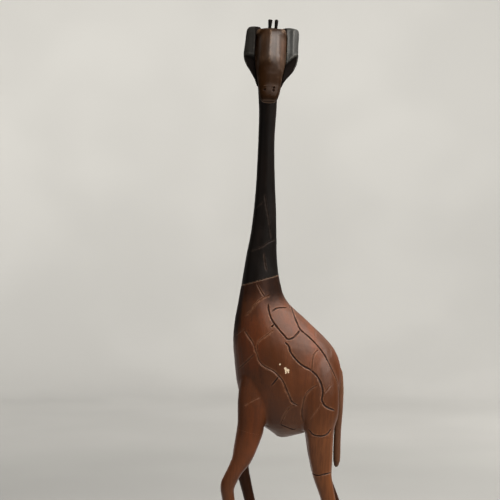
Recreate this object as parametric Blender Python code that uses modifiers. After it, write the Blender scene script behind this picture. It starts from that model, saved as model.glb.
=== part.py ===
"""A carved wooden giraffe, walking to -X with its head turned to its left, to -Y.

The body, neck and legs are shaped as one flowing carving, and then sawn at the glue lines: the neck, the four
legs, the head, the ears, the horns and the tail are separate pieces of wood, joined with dowels and pegs. Each
shape is first drawn in millimetres, in the carver's own frame: X runs along the body from below the withers, Y
across it from the centre plane, and Z up from the ground. The whole is then set with the middle of its bounding
box over the origin, standing on the ground.
"""

import bpy
import bmesh
from math import cos, pi, radians, sin, tan
from mathutils import Matrix, Vector

MM = 0.001

# Driving dimensions, in millimetres.
HEIGHT = 600.0            # ground to the tips of the horns
GLUE_GAP = 0.3            # between two glued faces
PEG_CLEARANCE = 0.15      # round a dowel in its hole
HOLE_DEPTH_SPARE = 1.5    # room for glue past each end of a dowel

# The carving, before it is sawn: how finely it is meshed, and how far it is smoothed.
VOXEL = 1.6
SMOOTHING_PAIRS = 9
FAR = 400.0               # beyond the whole carving, for the blocks that cut it
LEFT, RIGHT = -1, 1       # which way each side of the giraffe lies along Y

# Torso and neck: horizontal sections as (height, front X, back X, half width, narrowing towards the back).
TRUNK = (
    (572, -33, -9, 10.5, 0.0), (556, -32.5, -10, 10.8, 0.0), (540, -32, -11, 10.2, 0.0), (524, -31, -12, 9.4, 0.0),
    (506, -30.3, -12.8, 8.8, 0.0), (482, -31, -14.6, 8.4, 0.0), (458, -32, -14.8, 8.5, 0.0),
    (434, -33.3, -14.2, 9.0, 0.0), (410, -35.4, -13.2, 10.0, 0.0), (386, -38.5, -12.8, 11.2, 0.0),
    (362, -43.2, -12.4, 13.2, 0.05), (346, -46, -11, 15.5, 0.1), (334, -48, -8.8, 17.5, 0.12),
    (322, -50.2, -5.4, 20.0, 0.16), (312, -52, 1.4, 22.2, 0.2), (302, -54, 12.8, 24.4, 0.24),
    (292, -55.4, 23.2, 26.6, 0.24), (281, -56.3, 34.8, 28.6, 0.22), (270, -56.2, 44.2, 30.2, 0.18),
    (258, -55.2, 50.0, 31.2, 0.12), (246, -54, 52.4, 31.8, 0.06), (234, -52.5, 52.2, 31.8, 0.0),
    (222, -49, 50.0, 31.0, -0.04), (210.5, -43, 45.0, 29.0, -0.05), (200, -35.5, 37.0, 25.5, 0.0),
    (191, -25.5, 26.5, 20.0, 0.0), (184.3, -16.5, 14.0, 12.5, 0.0), (180.2, -11.5, -2.0, 5.0, 0.0),
)

# Legs: horizontal sections as (height, middle X, half length, middle Y, half width). Y is for a leg on the +Y side.
FRONT_LEFT_LEG = (
    (264, -33.0, 7.0, 6, 7.0), (251, -34.0, 11.6, 9.2, 11.0), (238, -35.0, 14.4, 11.8, 12.6),
    (220, -36.3, 15.2, 13.9, 13.1), (204, -36.9, 14.8, 15.6, 12.8), (192, -38.8, 13.3, 17, 12.2),
    (182, -40.9, 12.9, 17.8, 11.5), (172, -43.5, 11.7, 18.3, 10.6),
    (163, -46.3, 10.6, 18.6, 9.7), (155, -50.0, 9.9, 18.6, 9.0), (146, -56.0, 8.4, 18.6, 8.3),
    (138, -60.1, 8.0, 18.6, 7.8), (130, -62.1, 6.7, 18.6, 7.2), (121.5, -61.0, 6.3, 18.4, 6.5),
    (106, -60.0, 5.8, 18.2, 5.9), (85, -59.0, 5.3, 18, 5.3), (62, -58.2, 5.0, 18, 5.0), (40, -57.8, 5.1, 18, 5.1),
    (29, -58.0, 6.0, 18, 6.0), (22, -58.6, 6.2, 18, 6.2), (17, -59.4, 6.9, 18, 6.9), (-3, -61.2, 9.2, 18, 8.4),
)
FRONT_RIGHT_LEG = (
    (264, -33.0, 7.0, 6, 7.0), (251, -34.0, 11.6, 9.2, 11.0), (238, -35.0, 14.4, 11.8, 12.6),
    (220, -36.3, 15.2, 13.9, 13.1), (204, -36.9, 14.8, 15.6, 12.8), (192, -38.8, 13.3, 17, 12.0),
    (182, -41.6, 11.9, 17.8, 10.8), (172, -44.8, 10.3, 18.3, 9.6),
    (161, -48.2, 8.6, 18.6, 8.6), (151, -48.6, 7.7, 18.6, 8.0), (141, -46.8, 6.8, 18.6, 7.2),
    (130, -44.0, 6.1, 18.4, 6.4), (112, -39.6, 5.5, 18.2, 5.7), (90, -34.4, 5.2, 18, 5.2), (64, -28.4, 5.0, 18, 5.0),
    (42, -23.8, 5.2, 18, 5.1), (30, -21.6, 6.0, 18, 6.0), (22, -21.0, 6.2, 18, 6.2), (17, -21.6, 6.9, 18, 6.9),
    (-3, -23.6, 9.2, 18, 8.4),
)
HIND_LEFT_LEG = (
    (280, 22.0, 9.0, 5, 8.0), (266, 23.6, 15.0, 8.5, 12.0), (252, 25.4, 19.0, 11.4, 14.4),
    (238, 27.0, 20.8, 13.8, 15.2), (222, 28.6, 20.6, 16.4, 15.0),
    (204, 30.0, 18.2, 18.0, 14.0), (190, 29.4, 14.7, 18.8, 12.6), (177, 30.0, 12.9, 19, 11.4),
    (161, 30.8, 11.5, 19, 9.8), (153, 31.4, 10.4, 19, 9.1), (145, 32.0, 9.5, 19, 8.6), (137, 33.8, 8.8, 19, 8.2),
    (129, 36.0, 8.0, 19, 7.7), (121, 38.0, 7.4, 19, 7.3), (113, 39.8, 7.1, 19, 6.9), (105, 41.2, 6.8, 19, 6.6),
    (96, 41.2, 6.2, 18.8, 6.1), (82, 40.0, 5.6, 18.6, 5.5),
    (60, 38.0, 5.1, 18.4, 5.1), (40, 36.2, 5.1, 18.2, 5.1), (29, 35.4, 6.0, 18, 6.0), (22, 34.8, 6.2, 18, 6.2),
    (17, 34.0, 6.9, 18, 6.9), (-3, 32.2, 9.2, 18, 8.4),
)
HIND_RIGHT_STRIDE = 5.2   # how far behind the left hind leg the right one stands, at the hock and below
STRIDE_STARTS = 139.0     # height where the right hind leg starts to set back
STRIDE_FULL = 111.0       # height below which it is set back in full

# Head, in its own frame: sections as (distance from the crown, half width, height of the face, depth of the jaw).
HEAD = (
    (0, 13.2, 7.5, 10.5), (3.5, 15.0, 10.8, 14.0), (12, 15.5, 12.9, 15.8), (23, 15.7, 13.9, 16.0),
    (32, 15.6, 13.9, 15.2), (40, 15.0, 13.0, 13.8), (48, 14.0, 11.3, 12.2), (56.5, 12.8, 9.2, 10.8),
    (65, 11.4, 7.6, 9.8), (73, 10.3, 6.5, 9.2), (80, 9.4, 5.8, 8.8), (85, 8.2, 4.4, 7.6), (88, 6.0, 2.2, 5.0),
)
HEAD_PITCH = 57.0         # the face slopes this far below level, in degrees
HEAD_LEAN = 3.0           # and leans this far sideways
CROWN = Vector((-17.6, 1.0, 586.8))
HEAD_SEAT = 13.4          # the neck's glue face lies this far behind the head's centre line

# Ears, on the head: (distance from the crown, how far out the left ear's rim and the right ear's rim are, height of
# the front, depth of the back). They were carved by eye, and the left one spreads wider.
EARS = (
    (-9.2, 25.2, 22.6, -1.8, 6.2), (-6.7, 27.2, 24.6, 0.4, 7.8), (0, 27.9, 25.6, 2.2, 8.6), (10, 27.6, 26.0, 3.0, 9.0),
    (20, 27.4, 26.6, 3.4, 8.8), (28, 27.7, 26.9, 2.8, 8.6), (34, 27.0, 25.9, 0.6, 8.6), (40, 25.3, 23.4, -1.8, 8.4),
    (46, 22.7, 19.9, -3.2, 8.2), (51, 19.4, 17.4, -3.8, 8.0), (56, 16.1, 15.0, -4.0, 7.8), (61, 13.7, 13.3, -4.2, 7.4),
    (66, 12.2, 12.0, -4.6, 6.4),
)
EAR_ROOT = 11.0           # its inner edge, inside the cheek, before it is coped

# Horns: where they enter the crown, how far they lean towards +X, and their profiles as (height above the crown,
# radius).
HORN_SPACING = 6.3
HORN_REACH = 9.0          # depth of its hole
HORN_CENTRE = Vector((-16.6, 0.2))
HORN_LEAN = 5.0
LEFT_HORN = ((0, 1.45), (3, 1.5), (6.5, 1.75), (9.3, 1.85), (10.3, 1.1))
RIGHT_HORN = ((0, 1.5), (4, 1.65), (7, 1.95), (9.7, 2.25), (10.3, 1.8))
HORN_FOOT = HEIGHT - 10.42  # height of the crown at the horns, which carry it to the full height

# Tail: horizontal sections as (height, front X, back X, half width).
TAIL = (
    (258, 48.2, 51.4, 2.0), (251, 48.2, 52.8, 3.0), (240, 48.2, 54.2, 3.6), (224, 47.8, 54.8, 3.9),
    (208, 46.4, 53.6, 3.9), (192, 44.6, 51.6, 3.6), (176, 43.6, 50.7, 3.5), (164, 43.2, 50.5, 4.1),
    (156, 43.3, 50.0, 4.3), (151.5, 44.1, 48.6, 3.2), (149.8, 45.1, 47.2, 1.6),
)

# Glue lines sawn through the carving: a point on each, and how far its normal leans towards +X from straight up.
NECK_SEAM = (Vector((-28, 0, 338)), -15.0)
FRONT_SEAM = (Vector((-38, 0, 187.5)), 14.0)
HIND_SEAM = (Vector((31, 0, 183.5)), 3.0)
FRONT_LEGS_SPAN = (-95.0, -14.0)  # the stretch of X that holds the front legs, and no other wood below their seam
HIND_LEGS_SPAN = (17.0, 95.0)

# Dowels and pegs: where each is centred and how far it leans towards +X, in degrees. Y is for the +Y side.
NECK_DOWEL = (Vector((-27.8, 0, 337)), -4.0)
NECK_DOWEL_SIZE = (6.0, 64.0)     # radius, length
HEAD_DOWEL = (Vector((-20.6, 0.6, 561)), 0.0)
HEAD_DOWEL_SIZE = (3.0, 27.0)
FRONT_LEFT_DOWEL = (Vector((-39.0, 18.1, 188)), 8.0)
FRONT_RIGHT_DOWEL = (Vector((-41.5, 18.1, 188)), 13.0)
HIND_DOWEL = (Vector((31.0, 18.6, 184)), -2.0)
LEG_DOWEL_SIZE = (4.0, 38.0)
EAR_PEG_SIZE = (1.5, 11.0)
EAR_PEG_PLACE = (24.0, 16.2, -3.4)   # on the head: from the crown, out from its centre line, and above it
TAIL_PEG = Vector((48.0, 0, 240))
TAIL_PEG_SIZE = (1.2, 9.0)

# How many triangles the carving keeps before it is sawn, and each ear.
CARVING_TRIANGLES = 9000
EAR_TRIANGLES = 380

RED_BROWN = (0.085, 0.030, 0.012)
BLACK_BROWN = (0.014, 0.009, 0.007)
PALE_WOOD = (0.45, 0.30, 0.17)


def clear_scene():
    for obj in list(bpy.data.objects):
        bpy.data.objects.remove(obj)


def new_collection(name):
    collection = bpy.data.collections.new(name)
    bpy.context.scene.collection.children.link(collection)
    return collection


def material(name, colour, roughness):
    made = bpy.data.materials.new(name)
    made.use_nodes = True
    shader = made.node_tree.nodes["Principled BSDF"]
    shader.inputs["Base Color"].default_value = (*colour, 1.0)
    shader.inputs["Roughness"].default_value = roughness
    return made


def smooth_between(stations, spacing):
    """The stations with smooth steps between them, about one every spacing along the first value."""
    def slope(i, k):
        low, high = max(i - 1, 0), min(i + 1, len(stations) - 1)
        return (stations[high][k] - stations[low][k]) / (stations[high][0] - stations[low][0])

    dense = []
    for i in range(len(stations) - 1):
        here, there = stations[i], stations[i + 1]
        run = there[0] - here[0]
        steps = max(1, round(abs(run) / spacing))
        for step in range(steps):
            t = step / steps
            row = [here[0] + t * run]
            for k in range(1, len(here)):
                row.append(
                    (2 * t**3 - 3 * t**2 + 1) * here[k] + (t**3 - 2 * t**2 + t) * run * slope(i, k)
                    + (3 * t**2 - 2 * t**3) * there[k] + (t**3 - t**2) * run * slope(i + 1, k)
                )
            dense.append(row)
    dense.append(list(stations[-1]))
    return dense


def superellipse(corners, power):
    """Unit points round an oval; a power over 2 makes it squarer."""
    points = []
    for i in range(corners):
        angle = 2 * pi * i / corners
        across, along = cos(angle), sin(angle)
        points.append((
            abs(across) ** (2 / power) * (1 if across >= 0 else -1),
            abs(along) ** (2 / power) * (1 if along >= 0 else -1),
        ))
    return points


def new_object(name, mesh, collection):
    obj = bpy.data.objects.new(name, mesh)
    collection.objects.link(obj)
    return obj


def loft(name, rings, collection):
    """A closed body through rings of points, all with the same number of points, in millimetres."""
    bm = bmesh.new()
    loops = [[bm.verts.new(Vector(point) * MM) for point in ring] for ring in rings]
    count = len(loops[0])
    for low, high in zip(loops, loops[1:]):
        for i in range(count):
            bm.faces.new((low[i], low[(i + 1) % count], high[(i + 1) % count], high[i]))
    bm.faces.new(loops[0])
    bm.faces.new(loops[-1])
    bmesh.ops.recalc_face_normals(bm, faces=bm.faces)
    mesh = bpy.data.meshes.new(name)
    bm.to_mesh(mesh)
    bm.free()
    return new_object(name, mesh, collection)


def trunk(collection):
    """The torso and neck: horizontal ovals, narrower at the back where the spine makes a ridge."""
    oval = superellipse(40, 2.15)
    rings = []
    for height, front, back, half_width, narrowing in smooth_between(TRUNK, 4.0):
        middle, reach = (front + back) / 2, (back - front) / 2
        rings.append([
            (middle + u * reach, v * half_width * (1 - narrowing * u), height) for u, v in oval
        ])
    return loft("trunk", rings, collection)


def leg(name, stations, side, collection):
    """A leg, as horizontal ovals. Side is -1 for the giraffe's left, +1 for its right."""
    oval = superellipse(24, 2.3)
    rings = []
    for height, middle, half_length, across, half_width in smooth_between(stations, 3.0):
        rings.append([(middle + u * half_length, side * across + v * half_width, height) for u, v in oval])
    return loft(name, rings, collection)


def striding(stations):
    """The hind leg's sections moved back, fully so from the hock down."""
    moved = []
    for height, middle, *rest in stations:
        share = min(max((STRIDE_STARTS - height) / (STRIDE_STARTS - STRIDE_FULL), 0), 1)
        moved.append((height, middle + share * HIND_RIGHT_STRIDE, *rest))
    return moved


def head_frame():
    """Carries the head's own frame (out to its left, up from its face, towards its muzzle) to the carver's frame."""
    pitch = radians(HEAD_PITCH)
    out = Vector((1, 0, 0))
    towards_muzzle = Vector((0, -cos(pitch), -sin(pitch)))
    up = Vector((0, -sin(pitch), cos(pitch)))
    turned = Matrix((out, up, towards_muzzle)).transposed().to_4x4()
    lean = Matrix.Rotation(radians(HEAD_LEAN), 4, Vector((0, 1, 0)))
    return Matrix.Translation(CROWN) @ lean @ turned


def skull(collection):
    """The head: a face with soft shoulders to its sides and a rounder jaw below."""
    place = head_frame()
    oval = superellipse(32, 2.6)
    rings = []
    for distance, half_width, face, jaw in smooth_between(HEAD, 2.0):
        rings.append([
            place @ Vector((u * half_width, v * (face if v > 0 else jaw), distance)) for u, v in oval
        ])
    return loft("skull", rings, collection)


def ear(name, side, collection):
    """A long lobe beside the head. Side is +1 for the giraffe's left ear, which is at +X."""
    place = head_frame()
    oval = superellipse(24, 2.2)
    rings = []
    for distance, left_rim, right_rim, front, back in smooth_between(EARS, 2.0):
        rim = left_rim if side > 0 else right_rim
        middle, reach = (rim + EAR_ROOT) / 2, (rim - EAR_ROOT) / 2
        level, half = (front - back) / 2, (front + back) / 2
        rings.append([
            place @ Vector((side * (middle + u * reach), level + v * half, distance)) for u, v in oval
        ])
    return loft(name, rings, collection)


def tail(collection):
    oval = superellipse(16, 2.4)
    rings = []
    for height, front, back, half_width in smooth_between(TAIL, 5.0):
        middle, reach = (front + back) / 2, (back - front) / 2
        rings.append([(middle + u * reach, v * half_width, height) for u, v in oval])
    return loft("tail", rings, collection)


def horn(name, profile, side, collection):
    """A whittled peg, turned round Z with a Screw. Its foot reaches down into the crown."""
    outline = [(radius, height) for height, radius in reversed(profile)]
    outline += [(profile[0][1], -HORN_REACH), (0.0, -HORN_REACH)]
    outline.insert(0, (0.0, profile[-1][0]))
    bm = bmesh.new()
    points = [bm.verts.new(Vector((radius, 0, height)) * MM) for radius, height in outline]
    for first, second in zip(points, points[1:]):
        bm.edges.new((first, second))
    mesh = bpy.data.meshes.new(name)
    bm.to_mesh(mesh)
    bm.free()
    made = new_object(name, mesh, collection)
    turn = made.modifiers.new("turn", "SCREW")
    turn.steps = turn.render_steps = 16
    turn.use_merge_vertices = True
    turn.merge_threshold = 0.00005
    middle = HORN_CENTRE + Vector((side * HORN_SPACING / 2, 0))
    made.location = Vector((middle.x, middle.y, HORN_FOOT)) * MM
    made.rotation_euler.y = radians(HORN_LEAN)
    return made


def peg(name, centre, direction, radius, length, collection, corners=20):
    """A plain dowel, centred on a point and lying along a direction, in millimetres."""
    bm = bmesh.new()
    bmesh.ops.create_cone(
        bm, cap_ends=True, segments=corners, radius1=radius * MM, radius2=radius * MM, depth=length * MM
    )
    bm.transform(Vector(direction).to_track_quat("Z", "Y").to_matrix().to_4x4())
    mesh = bpy.data.meshes.new(name)
    bm.to_mesh(mesh)
    bm.free()
    made = new_object(name, mesh, collection)
    made.location = Vector(centre) * MM
    return made


def settled(obj):
    """Applies the object's modifiers and placement to a mesh of its own."""
    bpy.context.view_layer.update()
    graph = bpy.context.evaluated_depsgraph_get()
    mesh = bpy.data.meshes.new_from_object(obj.evaluated_get(graph))
    mesh.transform(obj.matrix_world)
    obj.modifiers.clear()
    obj.matrix_world = Matrix.Identity(4)
    obj.data = mesh
    return obj


def joined(name, objects, collection):
    """One object that holds the meshes of several, which are removed."""
    bm = bmesh.new()
    for obj in objects:
        bm.from_mesh(obj.data)
        bpy.data.objects.remove(obj)
    mesh = bpy.data.meshes.new(name)
    bm.to_mesh(mesh)
    bm.free()
    return new_object(name, mesh, collection)


def fused(obj, voxel):
    """Overlapping bodies as one skin, its creases worked smooth without thinning the slim parts."""
    skin = obj.modifiers.new("skin", "REMESH")
    skin.mode = "VOXEL"
    skin.voxel_size = voxel * MM
    for _ in range(SMOOTHING_PAIRS):
        for factor in (0.5, -0.52):
            rub = obj.modifiers.new("rub", "SMOOTH")
            rub.factor = factor
            rub.iterations = 1
    return settled(obj)


def boolean(obj, cutter, operation):
    step = obj.modifiers.new(operation.lower(), "BOOLEAN")
    step.operation = operation
    step.object = cutter
    settled(obj)
    obj.data.validate()
    return obj


def copied(obj, name, collection):
    return new_object(name, obj.data.copy(), collection)


def thinned(obj, triangles):
    """Keeps about this many triangles, fewest where the surface is flattest."""
    bm = bmesh.new()
    bm.from_mesh(obj.data)
    now = sum(len(face.verts) - 2 for face in bm.faces)
    bm.free()
    if now > triangles:
        thin = obj.modifiers.new("thin", "DECIMATE")
        thin.ratio = triangles / now
        settled(obj)
    return obj


def prism(name, outline, axis, low, high, collection):
    """A block with a flat outline in the plane across an axis, "X" or "Y", from low to high along that axis."""
    rings = []
    for reach in (low, high):
        rings.append([(reach, a, b) if axis == "X" else (a, reach, b) for a, b in outline])
    return loft(name, rings, collection)


def seam_height(seam, x):
    point, lean = seam
    return point.z - (x - point.x) * tan(radians(lean))


def below_seam(name, seam, span, across, lift, collection):
    """All the space below a seam that is lifted a little, over a span of X and a span of Y."""
    left, right = span
    outline = [
        (left, -FAR), (right, -FAR), (right, seam_height(seam, right) + lift), (left, seam_height(seam, left) + lift)
    ]
    return prism(name, outline, "Y", *across, collection)


def above_seam(name, seam, lift, collection):
    outline = [(x, seam_height(seam, x) + lift) for x in (-FAR, FAR)] + [(FAR, HEIGHT + FAR), (-FAR, HEIGHT + FAR)]
    return prism(name, outline, "Y", -FAR, FAR, collection)


def ahead_of_head_seat(name, lift, collection):
    """The space on the face's side of the flat where head and neck are glued, moved a little to the face's side."""
    pitch = radians(HEAD_PITCH)
    along = Vector((-cos(pitch), -sin(pitch)))
    seat = Vector((CROWN.y, CROWN.z)) + Vector((sin(pitch), -cos(pitch))) * (HEAD_SEAT - lift)
    top, bottom = seat - along * 20, seat + along * 100
    outline = [top, bottom, (-FAR, bottom.y), (-FAR, HEIGHT + FAR), (top.x, HEIGHT + FAR)]
    return prism(name, outline, "X", -FAR, FAR, collection)


def cut(obj, cutter, operation="DIFFERENCE"):
    """Cuts with a cutter that is used once."""
    boolean(obj, cutter, operation)
    bpy.data.objects.remove(cutter)
    return obj


def leaning(degrees):
    return Vector((sin(radians(degrees)), 0, cos(radians(degrees))))


def pegged(name, centre, direction, size, pieces, collections, look):
    """A dowel across a glue line, with a hole for it in each of the pieces that it joins."""
    parts, cutters = collections
    radius, length = size
    for piece in pieces:
        hole = peg("hole", centre, direction, radius + PEG_CLEARANCE, length + 2 * HOLE_DEPTH_SPARE, cutters)
        cut(piece, settled(hole))
    dowel = peg(name, centre, direction, radius, length, parts)
    dowel.data.materials.append(look)
    shade_round(dowel)


def grown(obj, distance, collection):
    """A copy whose surface stands off by a distance, to cut its neighbour with a gap."""
    copy = copied(obj, obj.name + "_grown", collection)
    swell = copy.modifiers.new("swell", "DISPLACE")
    swell.strength = distance * MM
    swell.mid_level = 0.0
    return settled(copy)


def shade_round(obj):
    obj.data.shade_smooth()
    obj.data.set_sharp_from_angle(angle=radians(40))


def finished(obj, look):
    obj.data.materials.clear()
    obj.data.materials.append(look)
    shade_round(obj)


def mirrored(point, side):
    return Vector((point.x, side * point.y, point.z))


def carving(cutters):
    """The trunk, legs and head worked into one skin, flat under the hooves."""
    whole = joined("carving", [
        trunk(cutters),
        leg("front_left", FRONT_LEFT_LEG, LEFT, cutters),
        leg("front_right", FRONT_RIGHT_LEG, RIGHT, cutters),
        leg("hind_left", HIND_LEFT_LEG, LEFT, cutters),
        leg("hind_right", striding(HIND_LEFT_LEG), RIGHT, cutters),
        skull(cutters),
    ], cutters)
    thinned(fused(whole, VOXEL), CARVING_TRIANGLES)
    floor = [(-FAR, -FAR), (FAR, -FAR), (FAR, 0), (-FAR, 0)]
    return cut(whole, prism("floor", floor, "Y", -FAR, FAR, cutters))


def sawn_legs(whole, torso, collections, looks):
    """The four legs, each sawn from the torso at its glue line and joined to it by a dowel."""
    parts, cutters = collections
    stain, bare = looks
    for name, seam, span, side, dowel in (
        ("front_left_leg", FRONT_SEAM, FRONT_LEGS_SPAN, LEFT, FRONT_LEFT_DOWEL),
        ("front_right_leg", FRONT_SEAM, FRONT_LEGS_SPAN, RIGHT, FRONT_RIGHT_DOWEL),
        ("hind_left_leg", HIND_SEAM, HIND_LEGS_SPAN, LEFT, HIND_DOWEL),
        ("hind_right_leg", HIND_SEAM, HIND_LEGS_SPAN, RIGHT, HIND_DOWEL),
    ):
        across = sorted((0, side * FAR))
        piece = copied(whole, name, parts)
        cut(piece, below_seam(name + "_block", seam, span, across, 0, cutters), "INTERSECT")
        cut(torso, below_seam(name + "_space", seam, span, across, GLUE_GAP, cutters))
        centre, lean = dowel
        pegged(
            name + "_dowel", mirrored(centre, side), leaning(lean), LEG_DOWEL_SIZE, (torso, piece), collections, bare
        )
        finished(piece, stain)


def add_ears(head, collections, looks):
    """Two lobes, coped to the cheeks and pegged to them."""
    parts, cutters = collections
    stain, bare = looks
    cheek = grown(head, GLUE_GAP, cutters)
    place = head_frame()
    distance, out, above = EAR_PEG_PLACE
    for name, side in (("left_ear", 1), ("right_ear", -1)):
        lobe = thinned(ear(name, side, parts), EAR_TRIANGLES)
        boolean(lobe, cheek, "DIFFERENCE")
        centre = place @ Vector((side * out, above, distance))
        direction = place.to_3x3() @ Vector((1, 0, 0))
        pegged(name + "_peg", centre, direction, EAR_PEG_SIZE, (head, lobe), collections, bare)
        finished(lobe, stain)
    bpy.data.objects.remove(cheek)


def add_horns(head, collections, stain):
    parts, cutters = collections
    for name, profile, side in (("left_horn", LEFT_HORN, 1), ("right_horn", RIGHT_HORN, -1)):
        made = settled(horn(name, profile, side, parts))
        middle = HORN_CENTRE + Vector((side * HORN_SPACING / 2, 0))
        depth = HORN_REACH + HOLE_DEPTH_SPARE
        centre = (middle.x, middle.y, HORN_FOOT)
        hole = peg("hole", centre, leaning(HORN_LEAN), profile[0][1] + PEG_CLEARANCE, 2 * depth, cutters)
        cut(head, settled(hole))
        finished(made, stain)


def add_tail(torso, collections, looks):
    """The tail, let into the rump a little way and pegged there."""
    parts, cutters = collections
    stain, bare = looks
    made = tail(parts)
    cut(torso, grown(made, GLUE_GAP, cutters))
    pegged("tail_peg", TAIL_PEG, (1, 0, 0), TAIL_PEG_SIZE, (torso, made), collections, bare)
    finished(made, stain)


def set_over_origin(parts):
    """Moves every piece so that the middle of the giraffe's bounding box stands over the origin."""
    corners = [point.co for obj in parts.objects for point in settled(obj).data.vertices]
    middle = [(min(point[k] for point in corners) + max(point[k] for point in corners)) / 2 for k in (0, 1)]
    shift = Matrix.Translation((-middle[0], -middle[1], 0))
    for obj in parts.objects:
        obj.data.transform(shift)


def build():
    clear_scene()
    parts = new_collection("giraffe")
    cutters = new_collection("cutters")
    collections = (parts, cutters)
    brown = material("red_brown_stain", RED_BROWN, 0.38)
    black = material("black_stain", BLACK_BROWN, 0.34)
    bare = material("bare_wood", PALE_WOOD, 0.6)

    whole = carving(cutters)
    torso = copied(whole, "torso", parts)
    cut(torso, above_seam("neck_space", NECK_SEAM, -GLUE_GAP, cutters))
    neck = copied(whole, "neck", parts)
    cut(neck, above_seam("neck_block", NECK_SEAM, 0, cutters), "INTERSECT")
    cut(neck, ahead_of_head_seat("head_space", -GLUE_GAP, cutters))
    head = copied(whole, "head", parts)
    cut(head, ahead_of_head_seat("head_block", 0, cutters), "INTERSECT")

    sawn_legs(whole, torso, collections, (brown, bare))
    bpy.data.objects.remove(whole)
    centre, lean = NECK_DOWEL
    pegged("neck_dowel", centre, leaning(lean), NECK_DOWEL_SIZE, (torso, neck), collections, bare)
    centre, lean = HEAD_DOWEL
    pegged("head_dowel", centre, leaning(lean), HEAD_DOWEL_SIZE, (neck, head), collections, bare)
    add_ears(head, collections, (black, bare))
    add_horns(head, collections, black)
    add_tail(torso, collections, (brown, bare))
    finished(torso, brown)
    finished(neck, black)
    finished(head, brown)
    set_over_origin(parts)


build()
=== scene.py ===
"""The looks of a carved wooden giraffe.

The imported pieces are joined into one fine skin, which is smoothed, engraved and worked like the real
carving, and then cut apart again at the same glue lines. The ears, the horns and the tail are refined one
by one. The dowels and pegs inside keep their own meshes.
"""

import math

import bmesh
import bpy
import numpy as np
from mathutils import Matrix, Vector, kdtree, noise
from mathutils.bvhtree import BVHTree


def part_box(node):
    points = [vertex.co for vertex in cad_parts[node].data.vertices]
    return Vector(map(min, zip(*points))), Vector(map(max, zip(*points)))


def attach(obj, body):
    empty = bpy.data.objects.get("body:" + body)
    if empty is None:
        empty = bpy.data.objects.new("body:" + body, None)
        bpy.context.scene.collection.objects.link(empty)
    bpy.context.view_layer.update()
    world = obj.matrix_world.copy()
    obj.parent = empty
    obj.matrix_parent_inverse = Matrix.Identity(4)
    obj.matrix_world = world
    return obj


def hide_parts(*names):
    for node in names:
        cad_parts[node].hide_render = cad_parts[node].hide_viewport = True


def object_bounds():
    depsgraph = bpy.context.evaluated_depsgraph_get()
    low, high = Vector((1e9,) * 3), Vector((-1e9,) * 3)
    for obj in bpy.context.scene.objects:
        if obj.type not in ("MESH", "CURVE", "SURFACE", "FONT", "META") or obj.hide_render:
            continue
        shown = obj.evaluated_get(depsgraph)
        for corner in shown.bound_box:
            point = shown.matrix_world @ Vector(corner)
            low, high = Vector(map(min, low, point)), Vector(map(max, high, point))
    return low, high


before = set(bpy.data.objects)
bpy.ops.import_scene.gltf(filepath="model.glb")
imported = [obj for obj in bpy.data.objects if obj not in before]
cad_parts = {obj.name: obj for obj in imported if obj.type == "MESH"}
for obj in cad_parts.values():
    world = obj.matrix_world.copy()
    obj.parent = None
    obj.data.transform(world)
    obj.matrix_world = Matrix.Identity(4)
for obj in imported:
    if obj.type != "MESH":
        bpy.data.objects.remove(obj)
cad_box = [list(corner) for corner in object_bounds()]
noise.seed_set(1)             # so that the lines on the far side wander the same way every time

MM = 0.001
LEGS = ("front_left_leg", "front_right_leg", "hind_left_leg", "hind_right_leg")
DOWELS = ("neck_dowel", "head_dowel") + tuple(name + "_dowel" for name in LEGS)
PEGS = ("left_ear_peg", "right_ear_peg", "tail_peg")

SKIN_VOXEL = 0.9 * MM
SKIN_GROWTH = 0.22 * MM       # closes the glue gaps and the dowel holes before the skin is made
SKIN_SMOOTHING = 40           # rounds
GLUE_LINE = 0.03 * MM         # what is left open between two pieces
BULGE_ROUNDS = 8              # how wide a patch a point's bulge is measured against
FAR = 0.5                     # well past the giraffe's sides, in metres


# ---------------------------------------------------------------- mesh helpers

def object_from(name, mesh):
    obj = bpy.data.objects.new(name, mesh)
    bpy.context.scene.collection.objects.link(obj)
    return obj


def points_of(mesh):
    flat = np.empty(len(mesh.vertices) * 3)
    mesh.vertices.foreach_get("co", flat)
    return flat.reshape(-1, 3)


def normals_of(mesh):
    flat = np.empty(len(mesh.vertices) * 3)
    mesh.vertex_normals.foreach_get("vector", flat)
    return flat.reshape(-1, 3)


def edges_of(mesh):
    flat = np.empty(len(mesh.edges) * 2, np.int64)
    mesh.edges.foreach_get("vertices", flat)
    return flat.reshape(-1, 2)


def set_points(mesh, points):
    mesh.vertices.foreach_set("co", points.astype(np.float32).ravel())
    mesh.update()


def smoothstep(low, high, values):
    """0 up to low, 1 from high on. Low may be the larger one, which turns it round."""
    share = np.clip((values - low) / (high - low), 0, 1)
    return share * share * (3 - 2 * share)


def bell(values, centre, spread):
    """1 at the centre, falling to 0 in about two spreads."""
    return np.exp(-(((values - centre) / spread) ** 2))


def neighbour_mean(points, edges):
    """For each point, the mean of the points it shares an edge with."""
    first, second = edges.T
    count = len(points)
    degree = np.bincount(first, minlength=count) + np.bincount(second, minlength=count)
    total = np.stack([
        np.bincount(first, points[second, k], count) + np.bincount(second, points[first, k], count)
        for k in range(points.shape[1])
    ], 1)
    return total / np.maximum(degree, 1)[:, None]


def smoothed(points, edges, rounds, weight=1.0):
    """Evens out facets without thinning the form. Weight, up to 1, holds back where the form is crisp."""
    for _ in range(rounds):
        for factor in (0.5, -0.53):
            points = points + factor * weight * (neighbour_mean(points, edges) - points)
    return points


def welded(node, growth):
    """A CAD node's mesh with its shared corners joined, and its surface moved out by growth."""
    bm = bmesh.new()
    bm.from_mesh(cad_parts[node].data)
    bmesh.ops.remove_doubles(bm, verts=bm.verts, dist=1e-6)
    bm.normal_update()
    shifts = [vert.normal * growth * min(vert.calc_shell_factor(), 2.0) for vert in bm.verts]
    for vert, shift in zip(bm.verts, shifts):
        vert.co += shift
    return bm


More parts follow.
